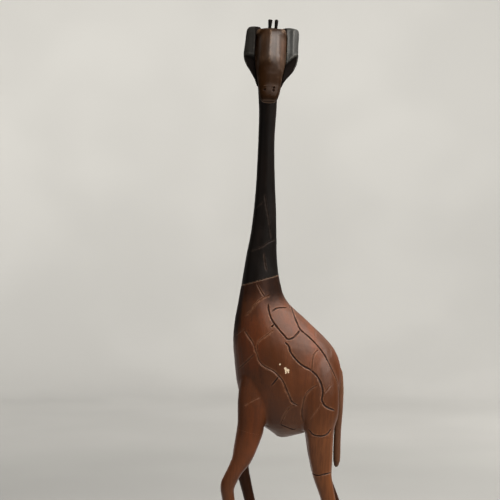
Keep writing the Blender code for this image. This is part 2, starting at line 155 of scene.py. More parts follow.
def joined(name, pieces):
    """One object out of several bmeshes, which are freed."""
    whole = bmesh.new()
    for piece in pieces:
        held = bpy.data.meshes.new("held")
        piece.to_mesh(held)
        piece.free()
        whole.from_mesh(held)
        bpy.data.meshes.remove(held)
    mesh = bpy.data.meshes.new(name)
    whole.to_mesh(mesh)
    whole.free()
    return object_from(name, mesh)


def applied(obj):
    graph = bpy.context.evaluated_depsgraph_get()
    mesh = bpy.data.meshes.new_from_object(obj.evaluated_get(graph))
    obj.modifiers.clear()
    old = obj.data
    obj.data = mesh
    bpy.data.meshes.remove(old)
    return obj


def remeshed(obj, voxel):
    skin = obj.modifiers.new("skin", "REMESH")
    skin.mode = "VOXEL"
    skin.voxel_size = voxel
    return applied(obj)


def refined(obj, near):
    """Splits each edge whose ends are both marked in near into two."""
    bm = bmesh.new()
    bm.from_mesh(obj.data)
    bm.verts.ensure_lookup_table()
    edges = [edge for edge in bm.edges if near[edge.verts[0].index] and near[edge.verts[1].index]]
    bmesh.ops.subdivide_edges(bm, edges=edges, cuts=1, use_grid_fill=True)
    bm.to_mesh(obj.data)
    bm.free()
    return obj


def noise_field(points, spacing, seed):
    """Smooth noise from about -1 to 1, with lumps about as wide as spacing. Seed picks a patch of it."""
    shift = Vector((seed * 17.3, seed * 5.1, seed * 9.7))
    return np.array([noise.noise(Vector(point) / spacing + shift) for point in points])


def bulge_of(obj, points):
    """How far each of an object's points stands out from the surface round it, in millimetres."""
    edges = edges_of(obj.data)
    mean = points
    for _ in range(BULGE_ROUNDS):
        mean = neighbour_mean(mean, edges)
    return np.einsum("ij,ij->i", points - mean, normals_of(obj.data)) / MM


def give(obj, **values):
    """Stores one number per point for the materials to read."""
    for name, numbers in values.items():
        attribute = obj.data.attributes.new(name, "FLOAT", "POINT")
        attribute.data.foreach_set("value", numbers.astype(np.float32))


# ---------------------------------------------------------------- what the frame says

def flat_face(node, facing):
    """(a point on it, its outward normal) for a CAD node's largest flat face that looks about one way."""
    facing = Vector(facing).normalized()
    found = {}
    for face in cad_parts[node].data.polygons:
        if face.normal.dot(facing) > 0.5:
            key = tuple(round(value, 2) for value in face.normal) + (round(face.normal.dot(face.center), 4),)
            area, centre, normal = found.get(key, (0.0, Vector(), Vector()))
            found[key] = (
                area + face.area, centre + face.center * face.area, normal + face.normal * face.area
            )
    area, centre, normal = max(found.values(), key=lambda plane: plane[0])
    return centre / area, normal.normalized()


def head_axes():
    """The head's own axes: (crown point, out to its left, up from its face, towards its muzzle).

    The crown point lies on the glue face, below the top of the head.
    """
    seat, normal = flat_face("head", (0, 1, -1))
    up = -normal
    muzzle = Vector((1, 0, 0)).cross(up).normalized()
    points = points_of(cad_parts["head"].data)
    along = (points - np.array(seat)) @ np.array(muzzle)
    middle_line = np.polyfit(along, points[:, 0], 1)
    muzzle = (muzzle + Vector((middle_line[0], 0, 0))).normalized()
    out = up.cross(muzzle).normalized()
    back = seat + muzzle * along.min()
    return Vector((np.polyval(middle_line, along.min()), back.y, back.z)), out, up, muzzle


# ---------------------------------------------------------------- engraved lines

# The engraved coat, on the giraffe's left flank: (how black it is stained, depth, half width, points), in
# millimetres. A point is (back from the front of the torso, up from the coat's foot).
COAT_FOOT = 182 * MM          # above the ground
BLACK_LINE, BROWN_LINE, PALE_LINE = 1.0, 0.6, 0.0
DEEP, PLAIN, FAINT = 0.9, 0.65, 0.35
COAT_LINES = (
    (PALE_LINE, FAINT, 0.8, ((18, 185), (29, 189), (36.5, 194), (42.5, 196))),
    (PALE_LINE, FAINT, 0.8, ((31, 242), (33, 230), (35.5, 216), (38, 198))),
    (PALE_LINE, FAINT, 0.7, ((22, 227), (31, 235))),
    (PALE_LINE, PLAIN, 0.8, ((31, 183), (31.5, 174), (33.5, 165))),
    (BROWN_LINE, PLAIN, 0.8, ((23.5, 153), (26.5, 147), (31, 140))),
    (0.25, PLAIN, 0.9, ((37, 141), (28, 137), (21.5, 131), (18, 126), (12.5, 121))),
    (BLACK_LINE, DEEP, 1.05, (
        (35, 132), (35.5, 126), (38, 118), (42.5, 111), (51, 101), (54, 98), (59, 99), (63.5, 103), (66, 106),
    )),
    (BLACK_LINE, DEEP, 1.05, (
        (51.5, 95), (55, 91), (56.5, 86), (60.5, 80), (67.5, 73), (77.5, 67), (84, 60), (87.5, 52),
        (88.5, 45), (87.5, 38), (91.5, 32), (100, 28),
    )),
    (BROWN_LINE, FAINT, 0.8, ((90.5, 45), (97, 53))),
    (BLACK_LINE, DEEP, 1.1, (
        (57.5, 132), (60.5, 122), (63.5, 114), (67, 107), (75, 100), (83, 92), (90, 83), (95.5, 73),
        (102.5, 58), (105, 49), (106, 42),
    )),
    (BLACK_LINE, PLAIN, 0.85, ((39, 125), (42, 127.5), (46.5, 128.5), (54, 128.5))),
    (BROWN_LINE, PLAIN, 0.85, ((84.5, 87), (80.5, 83), (78.5, 77), (77.5, 67))),
    (BROWN_LINE, FAINT, 0.8, ((82, 109), (82, 98))),
    (BROWN_LINE, FAINT, 0.8, ((97.5, 89), (97.5, 79))),
    (0.2, DEEP, 1.0, (
        (11.5, 106), (15.5, 100), (19.5, 94), (22.5, 86), (26, 76), (31.5, 71), (39.5, 67), (44.5, 63),
    )),
    (BROWN_LINE, DEEP, 1.0, ((43, 64.5), (49, 57), (52, 50), (55, 43), (58.5, 36), (64, 33))),
    (0.25, PLAIN, 0.85, ((39.5, 107), (36.5, 104), (29.5, 99), (24.5, 95), (23.5, 87))),
    (BROWN_LINE, PLAIN, 0.85, ((21, 83), (15, 77), (6, 68))),
    (BLACK_LINE, PLAIN, 0.8, ((44.5, 61), (41.5, 57), (37.5, 52))),
    (0.3, FAINT, 0.8, ((2.5, 101), (9, 106), (12, 109))),
    (BROWN_LINE, PLAIN, 0.95, ((83, 53), (74.5, 47), (70.5, 41), (69, 34), (68, 25), (69.5, 16))),
    (PALE_LINE, FAINT, 0.7, ((88, 36), (81.5, 27), (76, 19))),
    (BLACK_LINE, DEEP, 0.95, ((74.5, 9), (79.5, 4), (87.5, 3), (93, 5), (97, 10))),
    (BLACK_LINE, DEEP, 0.8, ((78, -35), (83.5, -36.5), (90.5, -35), (97, -34))),
    (BLACK_LINE, PLAIN, 0.95, ((46.5, 13.5), (52, 11), (59.5, 8), (63, 9))),
    (0.25, PLAIN, 0.8, ((60, 33), (54, 29), (49, 19), (47, 13))),
    (PALE_LINE, FAINT, 0.8, ((11, 32), (19, 37), (27.5, 41))),
    (BLACK_LINE, 2.2, 0.9, ((38, 110), (40, 112))),
    (PALE_LINE, FAINT, 0.6, ((30, 10.5), (36, 11))),
    (0.3, FAINT, 0.6, ((24, -12.5), (32, -11.5))),
)
LINE_STEP = 0.35 * MM
LINE_ENDS = 7                 # how many steps a line takes to come in at each end
END_WIDTH = 0.6               # how wide it is there, as a share of its width
WAVER = 0.25                  # how much its depth and width vary along it
FAR_SIDE_DRIFT = 4.5          # how far the right flank's lines wander from the left flank's, in millimetres
FAR_SIDE_TURNS = 40           # over how many millimetres that changes
LIP_HEIGHT, LIP_PLACE, LIP_SPREAD = 0.10, 1.35, 0.45    # as shares of the depth and the half width


def along_curve(points, step):
    """Evenly spaced places on a smooth curve through 2D points."""
    points = np.array(points, float)
    ends = np.vstack([2 * points[0] - points[1], points, 2 * points[-1] - points[-2]])
    places = []
    for before, here, there, after in zip(ends, ends[1:], ends[2:], ends[3:]):
        count = max(2, int(np.linalg.norm(there - here) / step))
        for t in np.arange(count)[:, None] / count:
            places.append(0.5 * (
                2 * here + (there - before) * t + (2 * before - 5 * here + 4 * there - after) * t**2
                + (3 * here - before - 3 * there + after) * t**3
            ))
    places.append(points[-1][None])
    return np.vstack(places)


def coat_samples(tree, side):
    """Points on the skin along a flank's lines: (x, y, z, depth, half width, blackness). Side is Y's sign."""
    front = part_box("torso")[0].x
    rows = []
    for number, (blackness, depth, half_width, outline) in enumerate(COAT_LINES):
        outline = np.array(outline, float)
        if side > 0:
            shift = np.array([noise.noise_vector((number * 3.1, 0, 7)).xy])
            turn = [noise.noise_vector((*place / FAR_SIDE_TURNS, 3)).xy for place in outline]
            outline = outline + FAR_SIDE_DRIFT * (shift + np.array(turn))
        places = along_curve(outline * MM, LINE_STEP)
        length = len(places)
        for k, (x, z) in enumerate(places):
            start = Vector((front + x, side * FAR, COAT_FOOT + z))
            found = tree.ray_cast(start, Vector((0, -side, 0)))[0]
            if found is None:
                found = tree.find_nearest(Vector((start.x, 0, start.z)))[0]
            ends = min(1.0, (k + 2) / LINE_ENDS, (length - k + 1) / LINE_ENDS)
            waver = 1 + WAVER * noise.noise((number * 7.7, k * 0.07, 0))
            width = half_width * (END_WIDTH + (1 - END_WIDTH) * ends)
            rows.append((*found, depth * ends * waver * MM, width * waver * MM, blackness))
    return rows


def nearest_line(points, rows):
    """For each point: (distance to the nearest line, its depth, its half width, its blackness)."""
    tree = kdtree.KDTree(len(rows))
    for number, row in enumerate(rows):
        tree.insert(row[:3], number)
    tree.balance()
    table = np.array(rows)
    found = [tree.find(point)[1:] for point in points]
    number = np.array([item[0] for item in found])
    distance = np.array([item[1] for item in found])
    return distance, *table[number, 3:].T


def cut_depth(distance, depth, half_width):
    """How far a rounded V tool lowers the skin at a distance from its line. The lips beside it stand up."""
    share = np.clip(distance / half_width, 0, 1)
    groove = depth * (0.5 + 0.5 * np.cos(np.pi * share)) ** 0.8
    lips = LIP_HEIGHT * depth * bell(distance, LIP_PLACE * half_width, LIP_SPREAD * half_width)
    return groove - lips


# ---------------------------------------------------------------- the carving

REFINED_REACH = 1.9 * MM      # how far from a line the skin is made finer
SEAM_WIDTH, SEAM_DEPTH = 0.45 * MM, 0.2 * MM
SEAT_TO_MIDDLE = 13.4         # from the head's glue face to its centre line, in millimetres
# The nostrils and the dots below them, in millimetres: (out to the left, along, half width, half length).
NOSTRILS = (
    (-4.6, 79.5, 1.1, 1.0), (4.4, 77.0, 0.9, 1.0), (4.0, 80.0, 1.0, 1.2),
    (-7.0, 88.0, 0.9, 0.9), (3.2, 88.5, 1.0, 1.0),
)
# How far the forms of the head stand out from it, or below 0 are cut into it, in millimetres.
RIDGE, CHEEKS, FLUTE, BROW, BELOW_BROW = 1.4, -1.6, -0.22, 0.7, -0.4
CROWN, CROWN_CORNERS, NOSE, NOSE_LEDGE, NOSTRIL = -0.5, 1.5, 0.35, 0.5, -1.1
MUZZLE_SIDES, MUZZLE_BUMP, MOUTH, LIP = -0.2, 1.0, -0.55, 0.2
MOUTH_SLOPE, MOUTH_BACK = 0.05, 88    # the mouth drops towards the crown, from here on
# How dark parts of the head and the body are painted, from 0 to 1. On the head it is all painted shade. On
# the body the withers take the neck's black stain, the seam and the far legs stain and painted shade, and the
# inner sides and the front painted shade.
NOSE_PAINTED_SHADE, CROWN_PAINTED_SHADE, RIGHT_PAINTED_SHADE, UNDER_PAINTED_SHADE = 0.95, 0.75, 0.25, 0.5
SEAM_STAIN_AND_SHADE, WITHERS_DARK, FAR_LEG_STAIN_AND_SHADE, INNER_PAINTED_SHADE, FRONT_PAINTED_SHADE = 0.68, 0.8, 0.58, 0.35, 0.38
# Painted light down the near front leg
FRONT_LEG_PAINTED_LIGHT = 0.3         # as a share of the hind leg
# The lost flake, in millimetres: (back from the torso's front, up from the coat's foot, reach both ways).
FLAKE = (
    (51.6, 69.4, 1.5, 1.3), (52.2, 67.0, 1.2, 2.2), (54.0, 68.0, 1.9, 1.1),
    (54.6, 66.4, 0.9, 1.4), (52.6, 65.2, 0.8, 0.9), (46.3, 73.6, 0.9, 0.6),
)
FLAKE_DEPTH = 0.35 * MM
FULL_DEPTH = 0.7 * MM         # a line this deep is fully coloured
# The flats under the belly, by the way each one faces.
BELLY_FLATS = ((-0.50, -0.40, -0.76), (0.12, -0.52, -0.85), (-0.50, 0.40, -0.76), (0.12, 0.52, -0.85))
BELLY_PLANED = 1.3 * MM       # how much each flat takes off
BELLY_FOOT, BELLY_TOP = 175 * MM, 204 * MM
HOOF_TOP = 17 * MM
HOOF_CRISP = 10 * MM          # the hooves stay crisp below this
HOOF_SMOOTHED = 0.06          # how far they are smoothed all the same
CLEFT_DEPTH, CLEFT_HALF = 1.0 * MM, 1.1 * MM
HOOF_LINE_DEPTH, HOOF_LINE_HALF = 0.45 * MM, 0.9 * MM
TOOL_MARKS = 0.07 * MM        # how uneven the rubbed-down surface is


def leg_middle(name, height, band=3 * MM):
    """The middle of a leg's CAD mesh at a height."""
    points = points_of(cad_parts[name].data)
    near = points[np.abs(points[:, 2] - height) < band]
    return (near.min(0) + near.max(0)) / 2


def hoof_lines(tree):
    """The cleft at the front of each hoof, and the line round its top."""
    rows = []
    for name in LEGS:
        middle = leg_middle(name, 2 * MM)
        for height in np.arange(0, HOOF_TOP * 0.8, LINE_STEP):
            found = tree.ray_cast(Vector((-FAR, middle[1], max(height, 0.3 * MM))), Vector((1, 0, 0)))[0]
            if found is not None and found.x > middle[0] - 12 * MM:
                rows.append((*found, CLEFT_DEPTH, CLEFT_HALF, BLACK_LINE))
        middle = leg_middle(name, HOOF_TOP)
        for turn in np.arange(0, 2 * math.pi, LINE_STEP / (6 * MM)):
            way = Vector((math.cos(turn), math.sin(turn), 0))
            start = Vector((middle[0], middle[1], HOOF_TOP + 0.8 * MM * math.cos(2 * turn)))
            found = tree.ray_cast(start + way * 14 * MM, -way)[0]
            if found is not None:
                rows.append((*found, HOOF_LINE_DEPTH, HOOF_LINE_HALF, BROWN_LINE))
    return rows


def in_head_terms(points):
    """Points in millimetres: (out to the giraffe's left, above the head's middle, towards the muzzle)."""
    crown, out, up, muzzle = head_axes()
    local = (points - np.array(crown)) / MM
    across, above, along = (local @ np.array(axis) for axis in (out, up, muzzle))
    return across, above - SEAT_TO_MIDDLE, along


def face_relief(points):
    """(how far the modelling raises the head's surface, in metres; how deep in a cut it is, 0 to 1)."""
    across, above, along = in_head_terms(points)
    aside = np.abs(across)
    face = smoothstep(0, 6, above)
    ridge = RIDGE * np.clip(1 - aside / 8, 0, 1) * smoothstep(2, 12, along) * (1 - smoothstep(46, 55, along))
    cheeks = CHEEKS * smoothstep(7, 13.5, aside) * smoothstep(3, 16, along) * (1 - smoothstep(46, 58, along))
    brow = BROW * bell(along, 45.5, 6.5) + BELOW_BROW * bell(along, 58.5, 6)
    flute = FLUTE * bell(across, 4.6, 1.3) * smoothstep(12, 20, along) * (1 - smoothstep(40, 48, along))
    crown = CROWN * (1 - smoothstep(-2, 12, along))
    nose = NOSE * np.clip(1 - aside / 5.5, 0, 1) * smoothstep(54, 62, along) * (1 - smoothstep(74, 79, along))
    sides = MUZZLE_SIDES * smoothstep(5.5, 9, aside) * smoothstep(70, 78, along)
    sides = sides + MUZZLE_BUMP * smoothstep(3, 9, across) * bell(along, 74, 11)
    corners = CROWN_CORNERS * bell(aside, 13, 3) * (1 - smoothstep(4, 14, along))
    ledge = NOSE_LEDGE * bell(aside, 4.4, 2.0) * bell(along, 75.5, 1.0)
    dots = np.zeros(len(points))
    for out_by, place, width, length in NOSTRILS:
        dots += np.exp(-np.hypot((across - out_by) / width, (along - place) / length) ** 3)
    mouth_level = -1.4 - MOUTH_SLOPE * (MOUTH_BACK - along)
    mouth = bell(above, mouth_level, 0.6) * smoothstep(69, 74, along)
    lip = LIP * bell(above, mouth_level - 1.9, 1.0) * smoothstep(71, 77, along)
    relief = face * (ridge + cheeks + corners + brow + flute + crown + nose + ledge + NOSTRIL * dots)
    relief = relief + sides + MOUTH * mouth + lip
    inside = (along > -5) & (above > -14)
    return np.where(inside, relief, 0) * MM, np.where(inside, np.clip(face * dots + mouth, 0, 1), 0)


def head_dark(points):
    """Painted shade on the head (0 to 1): most on the nose, some at the crown, on the right and below."""
    across, above, along = in_head_terms(points)
    speckle = np.zeros(len(points))
    near = (along > 30) & (along < 70)
    speckle[near] = noise_field(points[near], 5 * MM, 9)
    nose = smoothstep(30, 66, along + 5 * speckle) * (1 - 0.25 * smoothstep(69, 76, along))
    crown = CROWN_PAINTED_SHADE * (1 - smoothstep(4, 24, along))
    right_side = RIGHT_PAINTED_SHADE * smoothstep(-1, -9, across)
    return np.clip(NOSE_PAINTED_SHADE * nose + crown + right_side + UNDER_PAINTED_SHADE * smoothstep(-1, -7, above), 0, 1)


def flake_depth(points):
    """How deep each point is in the flake lost from the left flank, or in the speck beside it (0 to 1)."""
    back, up = (points[:, 0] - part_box("torso")[0].x) / MM, (points[:, 2] - COAT_FOOT) / MM
    lost = np.zeros(len(points))
    for place_back, place_up, reach_back, reach_up in FLAKE:
        reach = np.hypot((back - place_back) / reach_back, (up - place_up) / reach_up)
        lost = np.maximum(lost, 1 - smoothstep(0.75, 1.05, reach))
    return lost * (points[:, 1] < 0)


def away_from_tail(points):
    """0 round the tail's seat in the rump, 1 elsewhere."""
    low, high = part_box("tail")
    x, y, z = points.T
    across = smoothstep(5 * MM, 8 * MM, np.abs(y - (low.y + high.y) / 2))
    ahead = smoothstep(low.x + 3 * MM, low.x - 3 * MM, x)
    above = smoothstep(high.z, high.z + 4 * MM, z)
    return np.maximum.reduce([across, ahead, above])


def belly_planed(points):
    """The underside between the legs as the knife left it, in a few flats."""
    front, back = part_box("front_left_leg")[1].x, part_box("hind_left_leg")[0].x
    x, z = points[:, 0], points[:, 2]
    share = smoothstep(front - 2 * MM, front + 4 * MM, x) * smoothstep(back + 2 * MM, back - 4 * MM, x)
    share = share * smoothstep(BELLY_TOP, BELLY_TOP - 4 * MM, z) * (z > BELLY_FOOT)
    for way in BELLY_FLATS:
        way = np.array(Vector(way).normalized())
        reach = points @ way
        beyond = reach - (reach[share > 0.5].max() - BELLY_PLANED)
        points = points - (np.maximum(beyond, 0) * share)[:, None] * way
    return points


def stain_and_painted_shade(points, normals, neck_seam):
    """Where the black of the neck runs down onto the body, and where shade is painted on it (0 to 1).

    The chest and the band below the seam are stain and painted shade, the withers stain, the far legs stain
    and painted shade, and the inner sides of the legs and the front painted shade.
    """
    point, normal = neck_seam
    x, y, z = points.T
    below = (points - np.array(point)) @ np.array(normal) / MM
    # chest and under_seam: stain and painted shade; withers: stain
    chest = smoothstep(0.5, 0.97, -normals[:, 0]) * (1 - smoothstep(28, 80, below))
    withers = WITHERS_DARK * smoothstep(-0.2, 0.45, normals[:, 0]) * (1 - smoothstep(14, 40, below))
    under_seam = SEAM_STAIN_AND_SHADE * (1 - smoothstep(6, 34, below))
    # far_leg: stain and painted shade; inner and front: painted shade
    far_leg = FAR_LEG_STAIN_AND_SHADE * smoothstep(2 * MM, 12 * MM, y) * (1 - smoothstep(130 * MM, 215 * MM, z))
    inner = INNER_PAINTED_SHADE * smoothstep(0.2, 0.9, normals[:, 1]) * (1 - smoothstep(150 * MM, 200 * MM, z))
    front = FRONT_PAINTED_SHADE * smoothstep(-8 * MM, -24 * MM, x) * smoothstep(168 * MM, 200 * MM, z)
    shade = np.maximum.reduce([chest, withers, under_seam, far_leg, inner, front])
    return np.where(below < 0, 0, shade)


def stain_faded(points):
    """Painted light down the near legs, on their lower parts above the hooves (0 to 1)."""
    x, y, z = points.T
    near = smoothstep(4 * MM, -4 * MM, y)
    hind = smoothstep(-4 * MM, 6 * MM, x) * smoothstep(222 * MM, 175 * MM, z)
    front = FRONT_LEG_PAINTED_LIGHT * smoothstep(6 * MM, -4 * MM, x) * smoothstep(192 * MM, 165 * MM, z)
    return near * (hind + front) * smoothstep(20 * MM, 90 * MM, z)


def plain_skin():
    """The torso, neck, head and legs as one fine, smooth surface."""
    skin = joined("skin", [welded(node, SKIN_GROWTH) for node in ("torso", "neck", "head") + LEGS + DOWELS])
    remeshed(skin, SKIN_VOXEL)
    points = points_of(skin.data)
    crisp = HOOF_SMOOTHED + (1 - HOOF_SMOOTHED) * smoothstep(0, HOOF_CRISP, points[:, 2])
    set_points(skin.data, smoothed(points, edges_of(skin.data), SKIN_SMOOTHING, crisp[:, None]))
    set_points(skin.data, belly_planed(points_of(skin.data) - SKIN_GROWTH * normals_of(skin.data)))
    return skin


def lines_on(skin):
    """All engraved lines, as coat_samples gives them. The skin is refined there, on muzzle and flake."""
    tree = BVHTree.FromPolygons(points_of(skin.data), [face.vertices for face in skin.data.polygons])
    rows = coat_samples(tree, -1) + coat_samples(tree, 1) + hoof_lines(tree)
    points = points_of(skin.data)
    distance = nearest_line(points, rows)[0]
    across, above, along = in_head_terms(points)
    on_muzzle = (above > -7) & (along > 66) & (along < 95)
    refined(skin, (distance < REFINED_REACH) | on_muzzle | (flake_depth(points) > 0))
    return rows


def make_skin():
    """That surface with its engraving and modelling, and with what the materials need as attributes."""
    skin = plain_skin()
    rows = lines_on(skin)
    points, normals = points_of(skin.data), normals_of(skin.data)
    distance, depth, half_width, blackness = nearest_line(points, rows)
    stretched = points * np.array([1, 1, 0.45])
    marks = TOOL_MARKS * (noise_field(stretched, 9 * MM, 2) + 0.5 * noise_field(stretched, 4 * MM, 5))
    relief, cuts = face_relief(points)
    flake = flake_depth(points)
    point, normal = flat_face("neck", (0, 0, -1))
    seam = bell((points - np.array(point)) @ np.array(normal), 0, SEAM_WIDTH)
    lowered = cut_depth(distance, depth, half_width) + FLAKE_DEPTH * flake + SEAM_DEPTH * seam
    raised = marks + relief - lowered
    # The neck's stain on the body, and painted shade
    shade = stain_and_painted_shade(points, normals, (point, normal))
    points = np.clip(points + normals * raised[:, None], *cad_box)
    set_points(skin.data, points)

    share = distance / half_width
    strength = np.minimum(depth / FULL_DEPTH, 1)
    in_line = smoothstep(1.05, 0.35, share) * strength
    give(skin, line=np.maximum(in_line * blackness, cuts), pale=in_line * (1 - blackness))
    # lip places a painted highlight beside each cut, seam a painted highlight along the neck's glue line
    give(skin, lip=bell(share, 1.5, 0.4) * strength, flake=flake, seam=seam, shade=shade)
    above_legs = 0.45 + 0.55 * smoothstep(170 * MM, 200 * MM, points[:, 2])
    give(skin, bulge=bulge_of(skin, points) * above_legs * away_from_tail(points))
    # Where the underside faces down, which gets painted light from the floor
    give(skin, under=smoothstep(0.45, 0.8, -normals[:, 2]) * (points[:, 2] > BELLY_FOOT))
    # Painted shade on the head, and painted light down the near legs
    give(skin, head_dark=head_dark(points), faded=stain_faded(points))
    return skin


# ---------------------------------------------------------------- sawing the skin into pieces

def block_from(corners):
    """A convex block round some corners."""
    bm = bmesh.new()
    verts = [bm.verts.new(corner) for corner in corners]
    bmesh.ops.convex_hull(bm, input=verts)
    mesh = bpy.data.meshes.new("block")
    bm.to_mesh(mesh)
    bm.free()
    return object_from("block", mesh)


def beyond(plane, gap):
    """A block on the outer side of a plane (point, normal), with its face gap out from it."""
    point, normal = plane
    turn = normal.to_track_quat("Z", "Y").to_matrix()
    corners = []
    for x in (-FAR, FAR):
        for y in (-FAR, FAR):
            for z in (gap, 2 * FAR):
                corners.append(point + turn @ Vector((x, y, z)))
    return block_from(corners)


def leg_space(name, gap):
    """The space below a leg's glue face, moved up by gap, round that leg only."""
    low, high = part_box(name)
    point, normal = flat_face(name, (0, 0, 1))
    left, right = low.x - 10 * MM, high.x + 2 * MM
    near, far = low.y - 3 * MM, high.y + 3 * MM
    corners = []
    for x in (left, right):
        top = point.z - (x - point.x) * normal.x / normal.z + gap
        for y in (near, far):
            corners += [Vector((x, y, top)), Vector((x, y, low.z - 20 * MM))]
    return block_from(corners)


def cut(obj, cutter, operation):
    """Cuts an object with another one, which is used up."""
    step = obj.modifiers.new("cut", "BOOLEAN")
    step.operation = operation
    step.object = cutter
    step.solver = "MANIFOLD"
    applied(obj)
    bpy.data.objects.remove(cutter)
    return obj


def copied(obj, name):
    return object_from(name, obj.data.copy())


def sawn(skin):
    """The skin cut at the glue lines into the torso, neck, head and legs."""
    half = GLUE_LINE / 2
    neck_seam, head_seam = (
        (point, -normal) for point, normal in (flat_face("neck", (0, 0, -1)), flat_face("head", (0, 1, -1)))
    )
    pieces = {}
    upper = cut(copied(skin, "upper"), beyond(neck_seam, half), "INTERSECT")
    pieces["head"] = cut(copied(upper, "head_carved"), beyond(head_seam, half), "INTERSECT")
    pieces["neck"] = cut(upper, beyond(head_seam, -half), "DIFFERENCE")
    upper.name = "neck_carved"
    torso = cut(copied(skin, "torso_carved"), beyond(neck_seam, -half), "DIFFERENCE")
    for name in LEGS:
        pieces[name] = cut(copied(torso, name + "_carved"), leg_space(name, -half), "INTERSECT")
        cut(torso, leg_space(name, half), "DIFFERENCE")
    pieces["torso"] = torso
    bpy.data.objects.remove(skin)
    return pieces


# ---------------------------------------------------------------- ears, horns and tail

# How fine each piece is made, and how many rounds of smoothing it gets.
EAR_VOXEL, EAR_ROUNDS = 0.55 * MM, 16
HORN_VOXEL, HORN_ROUNDS = 0.3 * MM, 10
TAIL_VOXEL, TAIL_ROUNDS = 0.4 * MM, 18
EAR_MIDDLE = 21.0             # how far out the middle of an ear is, in millimetres
EAR_FOLD, EAR_HOLLOW = 0.5, 2.6       # how high the edge of its hollow stands, and how deep the hollow is
# Each ear, in millimetres: where its hollow starts along its middle, how that changes outwards, how much its
# front turns outwards (as a slope), how high the ridges down it stand, and how far it is blackened.
EAR_FORMS = {"left_ear": (35.0, -1.0, 0.12, 0.6, 0.0), "right_ear": (32.0, -0.4, 0.26, 0.3, 0.27)}
PEG_ROOM = (0.4 * MM, 0.9 * MM)       # how far round a peg, and past its end, its hole reaches
ROOT_REACH = 14 * MM          # how far down from its top the tail's root is shaped
ROOT_THINNED, ROOT_WIDENED = 0.75, 0.45
TAIL_SWING = 1.1 * MM         # how far its lower part stands off the legs
SWING_TOP, SWING_FULL = 222 * MM, 190 * MM


def refined_node(node, voxel, rounds, peg=None):
    """A fine, smoothed copy of one CAD node. The hole for its peg, if named, is closed."""
    bm = welded(node, 0.0)
    if peg:
        low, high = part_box(peg)
        middle, radius = (low + high) / 2, (high.z - low.z) / 2 + PEG_ROOM[0]
        end = high.x + PEG_ROOM[1]
        inside = [
            vert for vert in bm.verts
            if vert.co.x < end and math.hypot(vert.co.y - middle.y, vert.co.z - middle.z) < radius
        ]
        bmesh.ops.delete(bm, geom=inside, context="VERTS")
        bmesh.ops.holes_fill(bm, edges=[edge for edge in bm.edges if edge.is_boundary])
    obj = joined(node + "_carved", [bm])
    remeshed(obj, voxel)
    set_points(obj.data, smoothed(points_of(obj.data), edges_of(obj.data), rounds))
    return obj


def make_ear(node):
    """An ear, its lower front turned under and hollowed. The hollow's edge slants down towards the face."""
    obj = refined_node(node, EAR_VOXEL, EAR_ROUNDS)
    points, normals = points_of(obj.data), normals_of(obj.data)
    across, above, along = in_head_terms(points)
    out = np.abs(across)
    starts, slope, tilt, ridges, blackened = EAR_FORMS[node]
    up = np.array(head_axes()[2])
    steps = np.arange(along.min(), along.max(), 1.0)
    rims = [out[np.abs(along - step) < 1.5].max() for step in steps]
    rim = np.interp(along, steps, rims)
    facing = smoothstep(0.0, 0.4, normals @ up)
    past = along - (starts + slope * (out - EAR_MIDDLE))
    inside = smoothstep(0.3, 2.6, rim - out) * smoothstep(0, 3, along.max() - along)
    hollow = facing * smoothstep(-0.4, 1.8, past) * inside
    fold = facing * bell(past, -1.2, 1.3)
    upper = facing * smoothstep(0, -6, past) * smoothstep(-6, 0, along)
    spine = bell(out, EAR_MIDDLE + 2.2, 1.6) - 0.9 * bell(out, EAR_MIDDLE - 2.2, 2.0)
    marks = TOOL_MARKS * noise_field(points, 6 * MM, 4)
    turned = -tilt * facing * (1 - hollow) * (out - EAR_MIDDLE) * smoothstep(-8, -2, along)
    raised = EAR_FOLD * fold + ridges * upper * spine + turned - EAR_HOLLOW * hollow
    points = points + raised[:, None] * MM * up + marks[:, None] * normals
    set_points(obj.data, points)
    # Painted shade along the ear's edge by the face
    shade_by_the_face = smoothstep(17, 14.5, out)
    # The hollow attribute holds painted shade in the hollow and by the face, and the ear's own blackening
    give(obj, bulge=bulge_of(obj, points), hollow=np.maximum(np.maximum(hollow, shade_by_the_face), blackened))
    return obj


def make_horn(node):
    """A horn, as the frame has it but finer."""
    return refined_node(node, HORN_VOXEL, HORN_ROUNDS)


def make_tail():
    """The tail. Its root is shaped to grow out of the rump. Below, it hangs clear of the legs."""
    obj = refined_node("tail", TAIL_VOXEL, TAIL_ROUNDS, "tail_peg")
    points = points_of(obj.data)
    middle = (points.min(0) + points.max(0)) / 2
    share = smoothstep(ROOT_REACH, 0, points[:, 2].max() - points[:, 2])
    here = points[share > 0]
    inner = np.interp(points[:, 2], *tail_inside(here))
    points[:, 0] -= ROOT_THINNED * share * np.maximum(points[:, 0] - inner, 0)
    points[:, 1] += ROOT_WIDENED * share * (points[:, 1] - middle[1])
    points[:, 0] += TAIL_SWING * smoothstep(SWING_TOP, SWING_FULL, points[:, 2])
    set_points(obj.data, points)
    return obj


def tail_inside(points):
    """(heights, how far forward the tail comes at each)."""
    levels = np.arange(points[:, 2].min(), points[:, 2].max(), 1 * MM)
    return levels, [points[np.abs(points[:, 2] - level) < 1 * MM, 0].min() for level in levels]


# ---------------------------------------------------------------- materials

